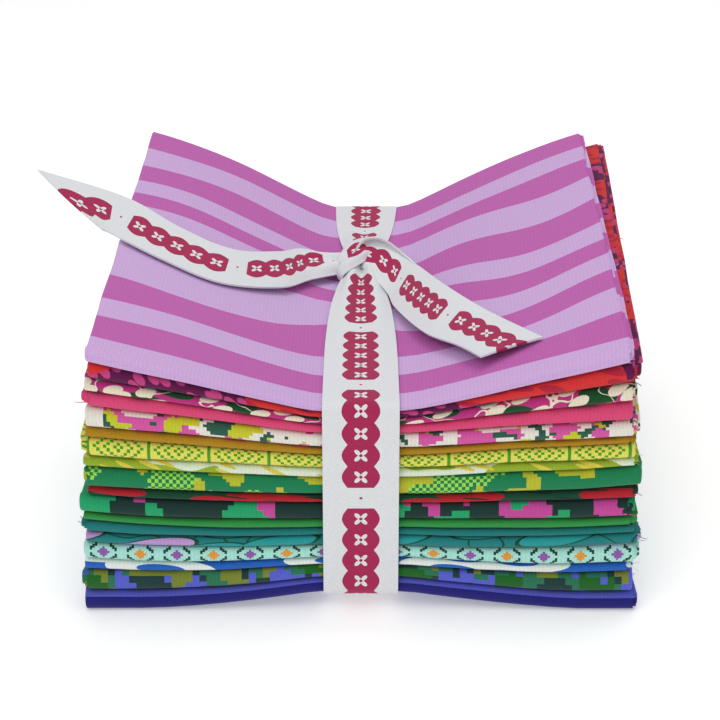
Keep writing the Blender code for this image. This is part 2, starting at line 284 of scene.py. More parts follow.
# The legs of the fold in three and their lengths in mm, from the outer raw edge to the tucked one
LEG_LENGTHS = {"top": 148.0, "nose": 9.0, "bottom": 147.0, "back": 4.0, "middle": 137.0}
FINE_STEPS = {"across": 34, "turn": 4, "top": 30, "nose": 12, "bottom": 12, "back": 5, "middle": 10}
PLAIN_STEPS = {"across": 20, "turn": 3, "top": 12, "nose": 12, "bottom": 10, "back": 5, "middle": 8}


def spread(points, total):
    """Running length along a list of lengths, scaled so that it ends at total."""
    run, places = 0.0, []
    for length in points:
        run += length
        places.append(run)
    return [place * total / run for place in places]


def ply_columns(steps):
    """Columns of the cut: way from the raw end to the folded end, ply outward, reach past the end."""
    columns, lengths = [], []

    def straight(ply, start, stop, count):
        for i in range(count + 1):
            columns.append((mix(start, stop, i / count), ply, 0.0))
            lengths.append(CUT_LENGTH / 4 / count if i else TURN_STEP_LENGTH)

    def turn(centre, radius, side, reach, count):
        for i in range(1, count):
            angle = math.pi * i / count
            columns.append((side, centre + radius * math.cos(angle), reach * math.sin(angle)))
            lengths.append(TURN_STEP_LENGTH)

    straight(1.5, 0.0, 1.0, steps["across"])
    turn(0.0, 1.5, 1.0, OUTER_TURN_REACH, 2 * steps["turn"])
    straight(-1.5, 1.0, 0.0, steps["across"])
    turn(-1.0, -0.5, 0.0, INNER_TURN_REACH, steps["turn"])
    straight(-0.5, 0.0, 1.0, steps["across"])
    turn(0.0, -0.5, 1.0, INNER_TURN_REACH, steps["turn"])
    straight(0.5, 1.0, 0.0, steps["across"])
    return columns, spread(lengths, CUT_LENGTH)


def layer_rows(steps):
    """Rows of the cut: which leg of the fold in three, and how far along it."""
    rows, lengths = [], []
    for leg, length in LEG_LENGTHS.items():
        first = 0 if leg == "top" else 1
        for i in range(first, steps[leg] + 1):
            rows.append((leg, i / steps[leg]))
            lengths.append(length / steps[leg] if i else 0.0)
    return rows, spread(lengths, CUT_WIDTH)


grid_size = (len(ply_columns(FINE_STEPS)[0]), len(layer_rows(FINE_STEPS)[0]))
print("points across and along the top cut:", grid_size)

# %% Where the fold puts a point
# One ply as a share of the packet's height. The plies of a layer are numbered -1.5, -0.5, 0.5 and
# 1.5, and the three layers lie LAYER plies apart
PLY = 0.0859
LAYER = 4
RAW_EDGE_STEP = 1.6
RAW_PLY_STEP = 0.25
BACK_FOLD_REACH = 1.4
BACK_TURN_RADIUS = 0.3
NOSE_SQUARENESS = 0.75


def fold_point(leg, t, ply, front, back):
    """Depth y and share of the packet's height, for a ply at a place along the fold in three."""
    raw = back - RAW_EDGE_STEP - RAW_PLY_STEP * (1.5 - ply)
    fold_back = back - BACK_FOLD_REACH
    if leg == "top":
        return mix(raw, FOLD_LINE, t), 0.5 + (LAYER + ply) * PLY
    if leg == "nose":
        angle = math.pi * (0.5 + t)
        radius = (LAYER + ply) * PLY
        reach = abs(math.cos(angle)) ** NOSE_SQUARENESS
        rise = math.copysign(abs(math.sin(angle)) ** NOSE_SQUARENESS, math.sin(angle))
        return FOLD_LINE - 2 * radius * (FOLD_LINE - front) * reach, 0.5 + radius * rise
    if leg == "bottom":
        return mix(FOLD_LINE, fold_back, t), 0.5 - (LAYER + ply) * PLY
    if leg == "back":
        angle = math.pi * (t - 0.5)
        radius = (LAYER / 2 + ply) * PLY
        reach = radius / BACK_TURN_RADIUS * BACK_FOLD_REACH * math.cos(angle)
        return fold_back + reach, 0.5 - LAYER / 2 * PLY + radius * math.sin(angle)
    return mix(fold_back, TUCKED_EDGE, t), 0.5 + ply * PLY


print("the outer plies lie", round(200 * (LAYER + 1.5) * PLY), "% of a packet's height apart")

# %% A sheet from a grid
CLOTH_THICKNESS = 0.22
SHARP_EDGE = 60.0


def sheet_from_grid(name, columns, rows, place):
    """Add a flat grid and move each point. place(column, row) gives the point in mm and its UV in m."""
    bpy.ops.object.select_all(action="DESELECT")
    bpy.ops.mesh.primitive_grid_add(x_subdivisions=columns, y_subdivisions=rows, size=1.0)
    sheet = bpy.context.object
    sheet.name = name
    flat = []
    for vertex in sheet.data.vertices:
        column = round((vertex.co.x + 0.5) * columns)
        row = round((vertex.co.y + 0.5) * rows)
        point, on_cut = place(column, row)
        vertex.co = Vector(point) * MM + SHIFT
        flat.append(on_cut)
    cut_map = sheet.data.uv_layers.active
    cut_map.name = "cut"
    for loop in sheet.data.loops:
        cut_map.data[loop.index].uv = flat[loop.vertex_index]
    return sheet


def thicken(sheet, thickness, group=""):
    """Give a sheet its two faces and its rim, facing out."""
    solidify = sheet.modifiers.new("thickness", "SOLIDIFY")
    solidify.thickness = thickness * MM
    solidify.offset = 0.0
    solidify.vertex_group = group
    bpy.ops.object.select_all(action="DESELECT")
    bpy.context.view_layer.objects.active = sheet
    sheet.select_set(True)
    bpy.ops.object.modifier_apply(modifier=solidify.name)
    bpy.ops.object.mode_set(mode="EDIT")
    bpy.ops.mesh.select_all(action="SELECT")
    bpy.ops.mesh.normals_make_consistent(inside=False)
    bpy.ops.object.mode_set(mode="OBJECT")
    bpy.ops.object.shade_smooth_by_angle(angle=math.radians(SHARP_EDGE))


def join(piece, others):
    """Make other meshes part of a piece."""
    bpy.ops.object.select_all(action="DESELECT")
    for other in others:
        other.select_set(True)
    piece.select_set(True)
    bpy.context.view_layer.objects.active = piece
    bpy.ops.object.join()


print("cotton sheets are", CLOTH_THICKNESS, "mm thick")

# %% The map that colours are baked through
# Pairs of place on the cut in mm and share of the picture's side
ACROSS_ROOM = ((0.0, 0.0), (139.5, 0.76), (143.0, 0.8), (559.0, 1.0))
DEPTH_ROOM = ((0.0, 0.0), (144.0, 0.34), (162.0, 0.5), (457.0, 1.0))
TOP_CLOTH_DEPTH_ROOM = ((0.0, 0.0), (144.0, 0.72), (162.0, 0.84), (457.0, 1.0))
# Left, low, right and high of each face's place in the picture
OUTER_ROOM = (0.02, 0.02, 0.98, 0.72)
INNER_ROOM = (0.02, 0.76, 0.98, 0.955)
RIM_GROWTH = 1.03
THREAD_ROOM = 0.012
THREAD_ROOM_START = (0.02, 0.972)


def room(place, shares):
    """Share of the picture's side at a place on the cut in mm."""
    for (start, low), (stop, high) in zip(shares, shares[1:]):
        if place <= stop:
            break
    return mix(low, high, (place - start) / (stop - start))


def lay_out_picture(sheet, faces, points, outer_first, depth_room):
    """Add the map that colours are baked through: outer face with the rim round it, then inner face."""
    sheet.data.uv_layers.new(name="OFBake")
    cut_map = sheet.data.uv_layers["cut"].data
    picture = sheet.data.uv_layers["OFBake"].data
    for face in sheet.data.polygons:
        on_rim = face.index >= 2 * faces
        for corner in face.loop_indices:
            outer = (sheet.data.loops[corner].vertex_index < points) == outer_first
            left, low, right, high = OUTER_ROOM if outer or on_rim else INNER_ROOM
            growth = RIM_GROWTH if on_rim and not outer else 1.0
            u = 0.5 + growth * (room(cut_map[corner].uv.x / MM, ACROSS_ROOM) - 0.5)
            v = 0.5 + growth * (room(cut_map[corner].uv.y / MM, depth_room) - 0.5)
            picture[corner].uv = (mix(left, right, u), mix(low, high, v))


def lay_out_thread(thread, number):
    """Give a loose thread one small square of the picture."""
    thread.data.uv_layers.new(name="OFBake")
    picture = thread.data.uv_layers["OFBake"].data
    for face in thread.data.polygons:
        for corner, (across, up) in zip(face.loop_indices, ((0, 0), (1, 0), (1, 1), (0, 1))):
            left, low = THREAD_ROOM_START
            picture[corner].uv = (left + THREAD_ROOM * (2 * number + across), low + THREAD_ROOM * up)


print("the picture's upper", round(100 * (1 - OUTER_ROOM[3])), "% is for the inner face and the threads")

# %% Loose threads
THREADS_EACH = 6
THREAD_REACH = (0.8, 2.8)
THREAD_WIDTH = 0.16
THREAD_TAPER = 0.5
THREAD_STEPS = 6
THREAD_RISE = 0.35
CURL_SWING = 0.9
CURL_SHORTENS = 0.45
RISE_TURN = 2.4


def loose_thread(start, on_cut, side, chance):
    """A yarn that has slipped out of a raw edge and curls away from it."""
    reach = chance.uniform(*THREAD_REACH)
    curl = chance.uniform(-1.0, 1.0)
    rise = chance.uniform(-THREAD_RISE, THREAD_RISE)

    def place(column, row):
        t = row / THREAD_STEPS
        bend = curl * t * t
        out = side * (t - CURL_SHORTENS * bend * bend)
        centre = start + reach * Vector((out, CURL_SWING * bend, rise * math.sin(RISE_TURN * t)))
        across = (column - 0.5) * THREAD_WIDTH * (1 - THREAD_TAPER * t)
        return centre + Vector((0.0, 0.0, across)), on_cut

    thread = sheet_from_grid("thread", 1, THREAD_STEPS, place)
    thicken(thread, THREAD_WIDTH)
    return thread


print("loose threads at each cut:", THREADS_EACH, "of", THREAD_REACH[0], "to", THREAD_REACH[1], "mm")

# %% Fold all eighteen
# How far each of the upper packets fans out to the right at the back, in mm
BACK_SKEW = {0: 2.6, 1: 7.5, 2: 6.0, 3: 4.5, 4: 3.0, 5: 2.0, 6: 1.0}
# How far the raw ends of the outer two plies stand in, in mm from and to
RAW_STEPS = {1.5: (0.9, 1.7), 0.5: (0.2, 0.9)}
RAW_ROUGHNESS = 0.3
LEAN = 0.5
# Height and length in mm of the waves along the front and along the sides
FRONT_WAVES = (0.3, 21.0)
SIDE_WAVES = (0.35, 17.0)
PRESSED_SHARE = 0.85


def fold_fat_quarter(index):
    """One fat quarter, folded and lying in its place in the stack."""
    name, _, _, _, left_end, right_end, front_in, back_in, raw_side = FAT_QUARTERS[index]
    chance = random.Random(100 + index)
    raw_step = {ply: chance.uniform(*steps) for ply, steps in RAW_STEPS.items()}
    lean = {leg: chance.uniform(-LEAN, LEAN) for leg in ("top", "bottom", "middle")}
    lean["nose"] = lean["back"] = 0.0
    columns, u_places = ply_columns(FINE_STEPS if index == 0 else PLAIN_STEPS)
    rows, v_places = layer_rows(FINE_STEPS if index == 0 else PLAIN_STEPS)
    raw_end, fold_end = (right_end, left_end) if raw_side > 0 else (left_end, right_end)
    pressed = []

    def place(column, row):
        way, ply, reach = columns[column]
        leg, t = rows[row]
        raw_x = raw_end - raw_side * raw_step.get(ply, 0.0)
        x = mix(raw_x, fold_end, way) + reach * (raw_side if way == 0.0 else -raw_side)
        open_share = clamp(away_from_tie(x))
        loose = mix(TIED_STEP_SHARE, 1.0, open_share)
        pinch = TIE_PINCH * (1 - open_share)
        height, wave = FRONT_WAVES
        waves = height * noise.noise((x / wave, index * 3.1, 0.0))
        front = -STACK_DEPTH / 2 + pinch + front_in * loose + waves
        back = STACK_DEPTH / 2 - pinch - back_in * loose
        y, share = fold_point(leg, t, ply, front, back)
        if column in (0, len(columns) - 1):
            x += RAW_ROUGHNESS * chance.uniform(-1, 1)
        x += open_share * BACK_SKEW.get(index, 0.0) * (y / STACK_DEPTH + 0.5)
        height, wave = SIDE_WAVES
        waves = height * noise.noise((y / wave, index * 2.3, ply))
        x += open_share * (lean[leg] * (0.5 - y / STACK_DEPTH) + waves)
        low = boundary(index + 1, x, y) + (AIR if index + 1 < COUNT else 0.0)
        high = boundary(index, x, y) - (AIR if index else 0.0)
        z = mix(low, high, share)
        pressed.append(min(1.0, PRESSED_SHARE * PLY * (high - low) / CLOTH_THICKNESS))
        return (x, y, z + ripple(x, y, z)), (u_places[column] * MM, v_places[row] * MM)

    sheet = sheet_from_grid(f"{name}_cloth", len(columns) - 1, len(rows) - 1, place)
    group = sheet.vertex_groups.new(name="pressed")
    for i, weight in enumerate(pressed):
        group.add([i], weight, "REPLACE")
    faces, points = len(sheet.data.polygons), len(sheet.data.vertices)
    thicken(sheet, CLOTH_THICKNESS, "pressed")
    lay_out_picture(sheet, faces, points, raw_side > 0, DEPTH_ROOM if index else TOP_CLOTH_DEPTH_ROOM)

    threads = []
    for number in range(THREADS_EACH):
        column = chance.choice((0, len(columns) - 1))
        row = chance.randrange(2, len(rows) - 2)
        start, on_cut = place(column, row)
        threads.append(loose_thread(Vector(start), on_cut, raw_side, chance))
        lay_out_thread(threads[-1], number)
    join(sheet, threads)
    return sheet


cloths = [fold_fat_quarter(index) for index in range(COUNT)]
print("folded cloths:", len(cloths), "faces:", sum(len(c.data.polygons) for c in cloths))

# %% [markdown]
# ## The ribbon
# One length of twill tape, 19.6 mm wide, goes under the stack and up both sides. Its ends pass
# through one another on top, and one turn lies over the neck of the other. A ribbon keeps its
# width, so where its two edges come closer than that, the rest stands up in folds or turns over.
# Each stretch is a grid again: a row for each place along the ribbon, with its two edges from a
# short table, and a cross-section that spends the spare width.

# %% Sizes and route of the ribbon, in mm
RIBBON_WIDTH = 19.6
TAPE_THICKNESS = 0.55
RIBBON_CENTRE_X = -0.4
RIBBON_FRONT = -76.1
RIBBON_BACK = 75.7
RIBBON_TOP = 61.0
RIBBON_BACK_TOP = 60.0
RIBBON_BASE = 4.6
CORNER_RADIUS = 2.6
BASE_CORNER_RADIUS = 3.8
# The ribbon's way round the stack, from the knot to the front, under it and back to the knot
LOOP_ROUTE = (
    # y, z, bend radius, width, rise of its two folds
    (18.0, 63.4, 0.0, 4.8, 1.4),
    (13.6, 63.3, 0.0, 7.0, 1.9),
    (9.0, 62.4, 0.0, 9.8, 2.2),
    (4.0, 61.6, 0.0, 12.6, 2.1),
    (-5.0, 61.0, 0.0, 15.4, 1.4),
    (-15.0, 60.9, 0.0, 17.4, 0.8),
    (-38.0, 60.9, 0.0, 19.3, 0.2),
    (RIBBON_FRONT, RIBBON_TOP, CORNER_RADIUS, RIBBON_WIDTH, 0.0),
    (RIBBON_FRONT, RIBBON_BASE, BASE_CORNER_RADIUS, RIBBON_WIDTH, 0.0),
    (RIBBON_BACK, RIBBON_BASE, CORNER_RADIUS, RIBBON_WIDTH, 0.0),
    (RIBBON_BACK, RIBBON_BACK_TOP, CORNER_RADIUS, RIBBON_WIDTH, 0.0),
    (60.0, 60.1, 0.0, 18.4, 0.3),
    (48.0, 60.2, 0.0, 16.4, 0.7),
    (35.0, 60.7, 0.0, 12.6, 1.5),
    (26.0, 61.5, 0.0, 8.6, 2.0),
    (21.0, 62.2, 0.0, 6.0, 1.6),
)
# The free ends and the turn over the neck. Each row gives the near and the far edge, the rise of
# the middle, the rise of two folds, and the radius of the lip in which the far edge rolls over
LEFT_TAIL = (
    # near x, y, z, far x, y, z, crown, folds, lip
    (-0.5, 11.0, 62.6, -2.0, 20.0, 65.6, 1.0, 0.6, 0.0),
    (-7.4, 8.8, 62.4, -9.0, 17.8, 65.2, 1.2, 1.3, 0.0),
    (-14.6, 2.0, 63.6, -17.7, 19.4, 66.3, 0.9, 0.5, 0.0),
    (-22.5, -10.8, 66.4, -24.8, 8.3, 69.7, 0.3, 0.0, 0.0),
    (-39.2, -19.2, 71.2, -37.3, 0.0, 73.7, 0.0, 0.0, 0.0),
    (-56.2, -15.1, 76.9, -52.3, 4.1, 78.8, -0.2, 0.0, 0.0),
    (-70.1, -9.2, 82.0, -68.3, 9.8, 86.0, -0.4, 0.0, 0.0),
    (-72.6, -8.6, 82.9, -92.2, 6.9, 95.2, -0.5, 0.0, 0.0),
)
RIGHT_TAIL = (
    # near x, y, z, far x, y, z, crown, folds, lip
    (-1.0, 12.6, 63.4, -2.0, 14.4, 65.2, 0.2, 0.0, 0.6),
    (0.3, 10.6, 63.6, -1.2, 16.6, 67.0, 0.2, 0.0, 1.0),
    (1.9, 8.2, 63.8, 1.6, 19.6, 68.2, 0.1, 0.0, 1.3),
    (3.9, 3.8, 62.8, 6.4, 19.6, 68.0, 0.0, 0.0, 1.1),
    (7.2, -4.3, 62.0, 12.0, 13.8, 66.8, 0.0, 0.0, 0.5),
    (9.2, -15.8, 62.4, 17.0, 1.6, 67.4, 0.3, 0.0, 0.0),
    (17.0, -40.6, 65.3, 26.4, -23.5, 69.7, 0.4, 0.0, 0.0),
    (24.8, -54.2, 67.9, 34.4, -37.2, 69.9, 0.3, 0.0, 0.0),
    (30.2, -64.6, 69.2, 46.6, -58.0, 71.7, 0.2, 0.0, 0.0),
)
WRAP = (
    # near x, y, z, far x, y, z, crown, folds, lip
    (-2.6, 8.4, 60.9, -3.2, 12.4, 60.9, 0.2, 0.0, 0.0),
    (-5.6, 6.8, 61.4, -6.6, 12.2, 62.2, 0.6, 0.3, 0.0),
    (-5.6, 6.2, 63.1, -6.7, 14.0, 65.2, 0.8, 0.5, 0.0),
    (-3.0, 7.6, 64.7, -4.7, 17.6, 67.9, 1.0, 0.6, 0.0),
    (0.6, 11.8, 65.3, -0.8, 22.4, 68.3, 1.1, 0.6, 0.0),
    (3.8, 18.0, 64.4, 2.2, 26.8, 66.0, 1.0, 0.5, 0.0),
    (4.4, 21.6, 62.2, 2.8, 28.4, 62.7, 0.9, 0.4, 0.0),
    (1.6, 22.6, 61.0, 0.6, 28.6, 61.0, 0.2, 0.0, 0.0),
)
RIBBON_PIECES = {"left_tail": LEFT_TAIL, "right_tail": RIGHT_TAIL, "wrap": WRAP}
print("ribbon:", RIBBON_WIDTH, "mm wide, rows in its route:", len(LOOP_ROUTE))

# %% Bend a stretch of ribbon
ACROSS_STEPS = 24
MOST_ROLLED = 0.45
UNDERSIDE_FIRST = ("left_tail",)


def smooth_rows(rows, steps):
    """More rows on a smooth curve through the given ones, also where they stand close or far apart."""
    last = len(rows) - 1
    gaps = [max(math.dist(rows[i][0:6], rows[i + 1][0:6]), 0.01) for i in range(last)]
    slopes = []
    for i in range(last + 1):
        before, after = max(i - 1, 0), min(i + 1, last)
        run = sum(gaps[before:after])
        slopes.append([(b - a) / run for a, b in zip(rows[before], rows[after])])
    dense = []
    for i in range(last):
        for step in range(steps):
            t = step / steps
            ease = t * t * (3 - 2 * t)
            dense.append([
                a + (b - a) * ease + gaps[i] * (t * (1 - t) ** 2 * slope_a - t * t * (1 - t) * slope_b)
                for a, b, slope_a, slope_b in zip(rows[i], rows[i + 1], slopes[i], slopes[i + 1])
            ])
    dense.append(list(rows[-1]))
    return dense


def cross_section(width, crown, folds, lip):
    """Points across the ribbon as pairs: way from the near to the far edge, and height, in mm."""
    rolled = min(MOST_ROLLED, math.pi * lip / RIBBON_WIDTH)
    points = []
    for i in range(ACROSS_STEPS + 1):
        s = i / ACROSS_STEPS
        flat = min(1.0, s / (1 - rolled))
        across = flat * (width - lip)
        up = crown * math.sin(math.pi * flat) + folds * (1 - math.cos(4 * math.pi * flat)) / 2
        if s > 1 - rolled:
            angle = math.pi * (s - 1 + rolled) / rolled
            across += lip * math.sin(angle)
            up += lip * (1 - math.cos(angle))
        points.append((across, up))
    return points


def ribbon_stretch(name, rows, start):
    """A stretch of ribbon from rows of two edges and a cross-section, and its length in mm."""
    near = [Vector(row[0:3]) for row in rows]
    far = [Vector(row[3:6]) for row in rows]
    last = len(rows) - 1
    lengths = [0.0]
    for i in range(1, last + 1):
        lengths.append(((near[i] + far[i]) - (near[i - 1] + far[i - 1])).length / 2)
    run = [start + sum(lengths[:i + 1]) for i in range(last + 1)]
    grid = []
    for i, row in enumerate(rows):
        before, after = max(i - 1, 0), min(i + 1, last)
        along = (near[after] + far[after]) - (near[before] + far[before])
        side = (far[i] - near[i]).normalized()
        up = along.cross(side).normalized()
        up = -up if name in UNDERSIDE_FIRST else up
        points = cross_section((far[i] - near[i]).length, row[6], row[7], row[8])
        grid.append([near[i] + side * across + up * rise for across, rise in points])

    def place(column, row):
        return grid[row][column], (column / ACROSS_STEPS * RIBBON_WIDTH * MM, run[row] * MM)

    return sheet_from_grid(name, ACROSS_STEPS, last, place), run[-1]


print("rows for each free end:", [len(smooth_rows(table, 1)) for table in (LEFT_TAIL, RIGHT_TAIL)])

# %% The whole ribbon
CORNER_STEPS = 6
LOOP_STEPS = 4
TAIL_STEPS = 8


def loop_rows():
    """Rows of the way round the stack: its bends as arcs, its neck in folds."""
    rows = []
    for i, (y, z, radius, width, folds) in enumerate(LOOP_ROUTE):
        corner = Vector((y, z))
        if radius == 0:
            rows.append((corner, width, folds))
            continue
        back = (Vector(LOOP_ROUTE[i - 1][0:2]) - corner).normalized()
        ahead = (Vector(LOOP_ROUTE[i + 1][0:2]) - corner).normalized()
        half_turn = back.angle(ahead) / 2
        centre = corner + (back + ahead).normalized() * radius / math.sin(half_turn)
        start = corner + back * radius / math.tan(half_turn) - centre
        stop = corner + ahead * radius / math.tan(half_turn) - centre
        for step in range(CORNER_STEPS + 1):
            way = start.slerp(stop, step / CORNER_STEPS).normalized()
            rows.append((centre + way * radius, width, folds))
    flat_rows = []
    for point, width, folds in rows:
        centre = RIBBON_CENTRE_X + tie_centre(point[0])
        flat_rows.append((centre - width / 2, *point, centre + width / 2, *point, 0.0, folds, 0.0))
    return smooth_rows(flat_rows, LOOP_STEPS)


ribbon, length = ribbon_stretch("loop", loop_rows(), 0.0)
stretches = []
for name, table in RIBBON_PIECES.items():
    stretch, length = ribbon_stretch(name, smooth_rows(table, TAIL_STEPS), length)
    stretches.append(stretch)
join(ribbon, stretches)
ribbon.name = "twill_ribbon"
thicken(ribbon, TAPE_THICKNESS)
print("ribbon length:", round(length), "mm, faces:", len(ribbon.data.polygons))

# %% [markdown]
# ## Quilting cotton
# Every fat quarter is the same cloth: a plain weave of fine cotton yarns, printed or dyed, with no
# coating. To the eye it is quite matt. Its yarns make a fine grain, lighter where a yarn lies
# on top and darker between yarns, and their loose hairs give a faint pale sheen at grazing angles.
# Yarns are 0.4 mm apart. That is under two pixels here, so they are drawn 0.5 mm apart to show.

# %% The woven ground
YARN_PITCH = 0.5
WEAVE_SHARE = 0.2
RIB_SHARE = 0.7
SLUB_SIZE = 0.625
HEIGHT_RANGE = (-0.1, 1.1)
GRAIN_RANGE = (0.86, 1.12)
YARN_RISE = 0.12
COTTON_BUMP = 0.25
COTTON_ROUGHNESS = 0.9
COTTON_SPECULAR = 0.25
COTTON_SHEEN = 0.15


def cotton(name, printed):
    """Quilting cotton. printed(tree, mm) gives its colour from the place on the cut in mm."""
    material, tree, shader = new_material(name, COTTON_ROUGHNESS)
    cut = add(tree, "UVMap", uv_map="cut")
    mm = add(tree, "VectorMath", {0: cut, 1: (1000, 1000, 1000)}, operation="MULTIPLY")
    split = add(tree, "SeparateXYZ", {0: mm}).node
    turn = math.pi / YARN_PITCH
    yarns = []
    for axis in (0, 1):
        angle = add(tree, "Math", {0: split.outputs[axis], 1: turn}, operation="MULTIPLY")
        yarns.append(add(tree, "Math", {0: angle}, operation="SINE"))
    warp, weft = yarns
    crossing = add(tree, "Math", {0: warp, 1: weft}, operation="MULTIPLY")
    weave = add(tree, "Math", {0: warp, 1: RIB_SHARE, 2: crossing}, operation="MULTIPLY_ADD")
    slub = add(tree, "TexNoise", {"Vector": mm, "Scale": 1 / SLUB_SIZE, "Detail": 2.0},
               noise_dimensions="2D")
    height = add(tree, "Math", {0: weave, 1: WEAVE_SHARE, 2: slub}, operation="MULTIPLY_ADD")
    grain = add(tree, "MapRange", dict(enumerate((height, *HEIGHT_RANGE, *GRAIN_RANGE))))
    colour = add(tree, "VectorMath", {0: printed(tree, mm), 1: grain}, operation="MULTIPLY")
    bump = add(tree, "Bump", {"Height": height, "Strength": COTTON_BUMP, "Distance": YARN_RISE * MM})
    tree.links.new(colour, shader.inputs["Base Color"])
    tree.links.new(bump, shader.inputs["Normal"])
    shader.inputs["Specular IOR Level"].default_value = COTTON_SPECULAR
    shader.inputs["Sheen Weight"].default_value = COTTON_SHEEN
    return material


def ink(tree, ground, hex_colour, mask):
    """Print one colour over the ground wherever the mask is 1."""
    return add(tree, "Mix", {0: mask, 6: ground, 7: linear(hex_colour)}, out=2, data_type="RGBA")


print("yarns drawn in 10 mm:", round(10 / YARN_PITCH))

# %% [markdown]
# ## Dyed solids
# A solid is dyed in the piece, so both its faces have the colour. Only the yarns vary.

# %% Solids
SOLIDS = {
    "hot_pink_solid": "DA4676",
    "mustard_solid": "AE8216",
    "green_solid": "2F9244",
    "teal_solid": "1A7978",
}


def solid(hex_colour):
    """A print function that lays one colour all over."""
    def printed(tree, mm):
        return linear(hex_colour)[:3]
    return printed


PRINTS = {name: solid(hex_colour) for name, hex_colour in SOLIDS.items()}
print("dyed solids:", len(PRINTS))

# %% [markdown]
# ## Stripes
# The top cloth has broad stripes of two close tones, 13.4 mm each. Their edges wander as in a
# hand-cut paper stripe, less and less towards the back edge and the front fold. The bottom cloth
# changes from a light blue to a navy along its fold.

# %% Stripes
STRIPE_PITCH = 26.8
STRIPE_WANDER = 34.0
STRIPE_WANDER_SIZE = 50.0
TOP_FACE_DEPTH = 150.0
NAVY_PITCH = 24.0
NAVY_FROM = 11.2


def orchid_stripe(tree, mm):
    """Two tones in soft, uneven stripes along the cut."""
    wander = add(tree, "TexNoise", {"Vector": mm, "Scale": 1 / STRIPE_WANDER_SIZE, "Detail": 0.0},
                 noise_dimensions="2D")
    along = add(tree, "SeparateXYZ", {0: mm}, out=1)
    turn = add(tree, "Math", {0: along, 1: math.pi / TOP_FACE_DEPTH}, operation="MULTIPLY")
    fade = add(tree, "Math", {0: turn}, operation="SINE")
    freedom = add(tree, "Math", {0: fade, 1: STRIPE_WANDER}, operation="MULTIPLY")
    off = add(tree, "Math", {0: wander, 1: 0.5}, operation="SUBTRACT")
    away = add(tree, "Math", {0: off, 1: freedom}, operation="MULTIPLY")
    moved = add(tree, "Math", {0: along, 1: away}, operation="ADD")
    place = add(tree, "Math", {0: moved, 1: STRIPE_PITCH}, operation="FLOORED_MODULO")
    mask = add(tree, "Math", {0: place, 1: STRIPE_PITCH / 2}, operation="LESS_THAN")
    return ink(tree, linear("CDA9DA"), "BE5FAE", mask)


def navy_stripe(tree, mm):
    """A broad light stripe and a broad dark one, which meet along the front fold."""
    along = add(tree, "SeparateXYZ", {0: mm}, out=1)
    place = add(tree, "Math", {0: along, 1: NAVY_PITCH}, operation="FLOORED_MODULO")
    mask = add(tree, "Math", {0: place, 1: NAVY_FROM}, operation="GREATER_THAN")
    return ink(tree, linear("555ABE"), "1E1A74", mask)


PRINTS["orchid_stripe"] = orchid_stripe
PRINTS["navy_stripe"] = navy_stripe
print("stripes are", STRIPE_PITCH / 2, "mm wide")

# %% [markdown]
# ## Charted prints
# Several prints are drawn on squares, like a cross-stitch chart. The place on the cut is first
# snapped to squares of a few millimetres, so that everything after it keeps to the squares. Small
# motifs are then told by whole-number distances, and broad patches by a noise with a threshold.
# The motifs are plain ones of this lesson's own: diamonds, checks, sprigs and stepped patches.

# %% Squares and stepped patches
def squares(tree, mm, side, repeat_across, repeat_along, shift_along=0.0):
    """Whole squares counted from the middle of the nearest repeat, as across and along."""
    moved = add(tree, "VectorMath", {0: mm, 1: (0.0, shift_along, 0.0)}, operation="ADD")
    counted = add(tree, "VectorMath", {0: moved, 1: (1 / side,) * 3}, operation="MULTIPLY")
    whole = add(tree, "VectorMath", {0: counted}, operation="FLOOR")
    split = add(tree, "SeparateXYZ", {0: whole}).node
    found = []
    for axis, repeat in ((0, repeat_across), (1, repeat_along)):
        within = add(tree, "Math", {0: split.outputs[axis], 1: repeat}, operation="FLOORED_MODULO")
        centred = add(tree, "Math", {0: within, 1: repeat // 2}, operation="SUBTRACT")
        found.append(add(tree, "Math", {0: centred}, operation="ABSOLUTE"))
    return found


def patch(tree, mm, side, size, amount, seed):
    """Stepped patches of about that size, which cover more cloth where amount is lower."""
    snapped = add(tree, "VectorMath", {0: mm, 1: (side, side, side)}, operation="SNAP")
    moved = add(tree, "VectorMath", {0: snapped, 1: (seed, seed * 0.7, 0.0)}, operation="ADD")
    field = add(tree, "TexNoise", {"Vector": moved, "Scale": 1 / size, "Detail": 1.0},
                noise_dimensions="2D")
    return add(tree, "Math", {0: field, 1: amount}, operation="GREATER_THAN")


def patchwork(side, ground, patches):
    """A print function that lays stepped patches over a ground, one colour after the other."""
    def printed(tree, mm):
        colour = linear(ground)
        for hex_colour, size, amount, seed in patches:
            colour = ink(tree, colour, hex_colour, patch(tree, mm, side, size, amount, seed))
        return colour
    return printed


PATCHWORKS = {
    # side of a square in mm, ground, then colour, size in mm, amount and seed of each patch
    "cream_chart": (0.9, "E6E1D6", (
        ("D356A0", 10.0, 0.52, 40), ("2A5A48", 5.5, 0.62, 310), ("C3C72A", 6.5, 0.63, 730))),
    "teal_block": (1.5, "12332E", (("C24798", 12.0, 0.56, 905), ("1FA067", 13.0, 0.58, 260))),
    "night_block": (1.8, "1B3B3A", (
        ("2A7354", 13.0, 0.47, 70), ("7A8630", 9.0, 0.59, 415),
        ("1B6420", 10.0, 0.60, 640), ("5860CC", 6.0, 0.60, 860))),
}
for name, recipe in PATCHWORKS.items():
    PRINTS[name] = patchwork(*recipe)
print("prints so far:", len(PRINTS))

# %% Charts with small motifs
YELLOW_SQUARE = 0.85
GREEN_SQUARE = 0.9
SPRIG_SQUARE = 0.62
SPRIG_REPEAT = 15


